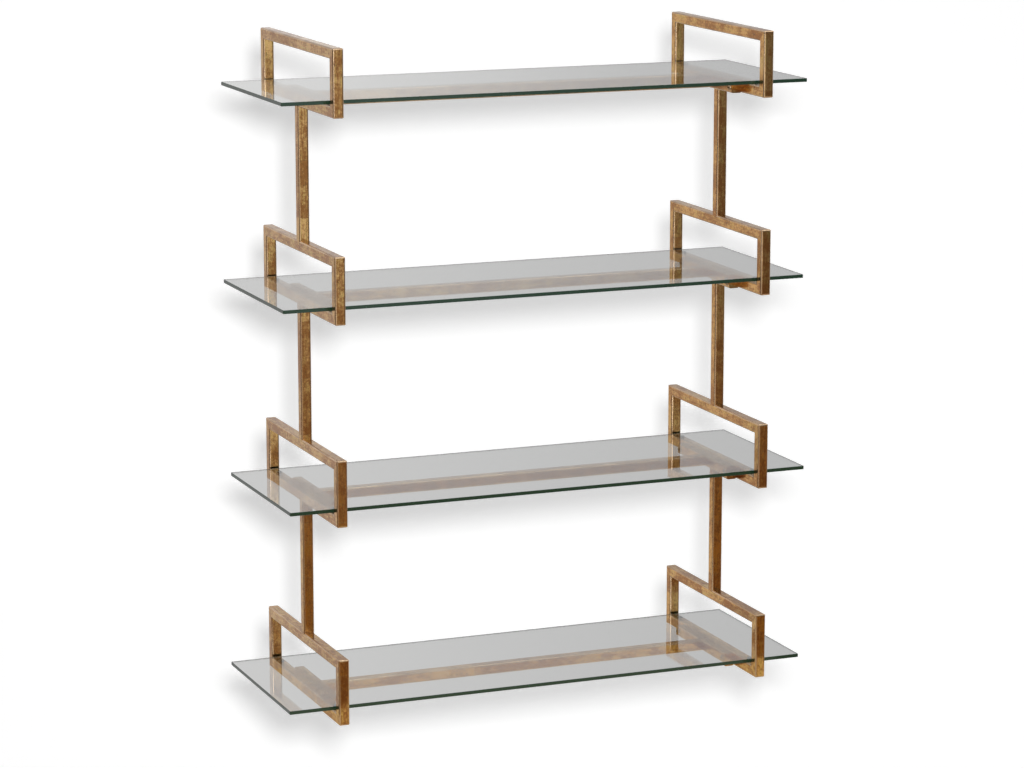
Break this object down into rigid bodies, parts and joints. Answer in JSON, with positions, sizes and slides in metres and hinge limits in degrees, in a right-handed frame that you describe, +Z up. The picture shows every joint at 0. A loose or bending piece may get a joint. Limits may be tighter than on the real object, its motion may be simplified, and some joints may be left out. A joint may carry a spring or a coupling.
{
  "type": "wall shelf",
  "caption": "Wall shelf of gilded square tube: rectangular loops joined by posts and crossbars, with loose clear glass panes laid through the loops.",
  "frame": {"origin": "midway between the round entries of the two keyholes, on the wall plane", "axes": "+X to the right seen from the front, +Y into the wall, +Z up"},
  "size_m": [0.768, 0.305, 0.914],
  "materials": {
    "gilded_metal": "antique gold leaf over brown, mottled, satin",
    "gilded_screw": "darker antique gold, satin",
    "clear_glass": "clear float glass with green ground edges",
    "clear_pad": "clear soft bumper"
  },
  "bodies": {
    "frame": {"left_top_bar_1": "gilded_metal", "left_top_bar_2": "gilded_metal", "left_top_bar_3": "gilded_metal", "left_top_bar_4": "gilded_metal", "left_bottom_bar_1": "gilded_metal", "left_bottom_bar_2": "gilded_metal", "left_bottom_bar_3": "gilded_metal", "left_bottom_bar_4": "gilded_metal", "left_rear_upright_1": "gilded_metal", "left_rear_upright_2": "gilded_metal", "left_rear_upright_3": "gilded_metal", "left_rear_upright_4": "gilded_metal", "left_front_upright_1": "gilded_metal", "left_front_upright_2": "gilded_metal", "left_front_upright_3": "gilded_metal", "left_front_upright_4": "gilded_metal", "left_flange_1": "gilded_metal", "left_flange_2": "gilded_metal", "left_flange_3": "gilded_metal", "left_flange_4": "gilded_metal", "right_top_bar_1": "gilded_metal", "right_top_bar_2": "gilded_metal", "right_top_bar_3": "gilded_metal", "right_top_bar_4": "gilded_metal", "right_bottom_bar_1": "gilded_metal", "right_bottom_bar_2": "gilded_metal", "right_bottom_bar_3": "gilded_metal", "right_bottom_bar_4": "gilded_metal", "right_rear_upright_1": "gilded_metal", "right_rear_upright_2": "gilded_metal", "right_rear_upright_3": "gilded_metal", "right_rear_upright_4": "gilded_metal", "right_front_upright_1": "gilded_metal", "right_front_upright_2": "gilded_metal", "right_front_upright_3": "gilded_metal", "right_front_upright_4": "gilded_metal", "right_flange_1": "gilded_metal", "right_flange_2": "gilded_metal", "right_flange_3": "gilded_metal", "right_flange_4": "gilded_metal", "left_post_1": "gilded_metal", "left_post_2": "gilded_metal", "left_post_3": "gilded_metal", "right_post_1": "gilded_metal", "right_post_2": "gilded_metal", "right_post_3": "gilded_metal", "crossbar_1": "gilded_metal", "crossbar_2": "gilded_metal", "crossbar_3": "gilded_metal", "crossbar_4": "gilded_metal", "flange_screws": "gilded_screw", "pane_pads": "clear_pad"},
    "pane_1": {"glass_pane_1": "clear_glass"},
    "pane_2": {"glass_pane_2": "clear_glass"},
    "pane_3": {"glass_pane_3": "clear_glass"},
    "pane_4": {"glass_pane_4": "clear_glass"}
  },
  "joints": [
    {"name": "pane_slide_1", "type": "slide", "parent": "frame", "child": "pane_1", "axis": [1, 0, 0], "range_m": [-0.059, 0.061]},
    {"name": "pane_slide_2", "type": "slide", "parent": "frame", "child": "pane_2", "axis": [1, 0, 0], "range_m": [-0.058, 0.062]},
    {"name": "pane_slide_3", "type": "slide", "parent": "frame", "child": "pane_3", "axis": [1, 0, 0], "range_m": [-0.064, 0.056]},
    {"name": "pane_slide_4", "type": "slide", "parent": "frame", "child": "pane_4", "axis": [1, 0, 0], "range_m": [-0.06, 0.06]}
  ]
}
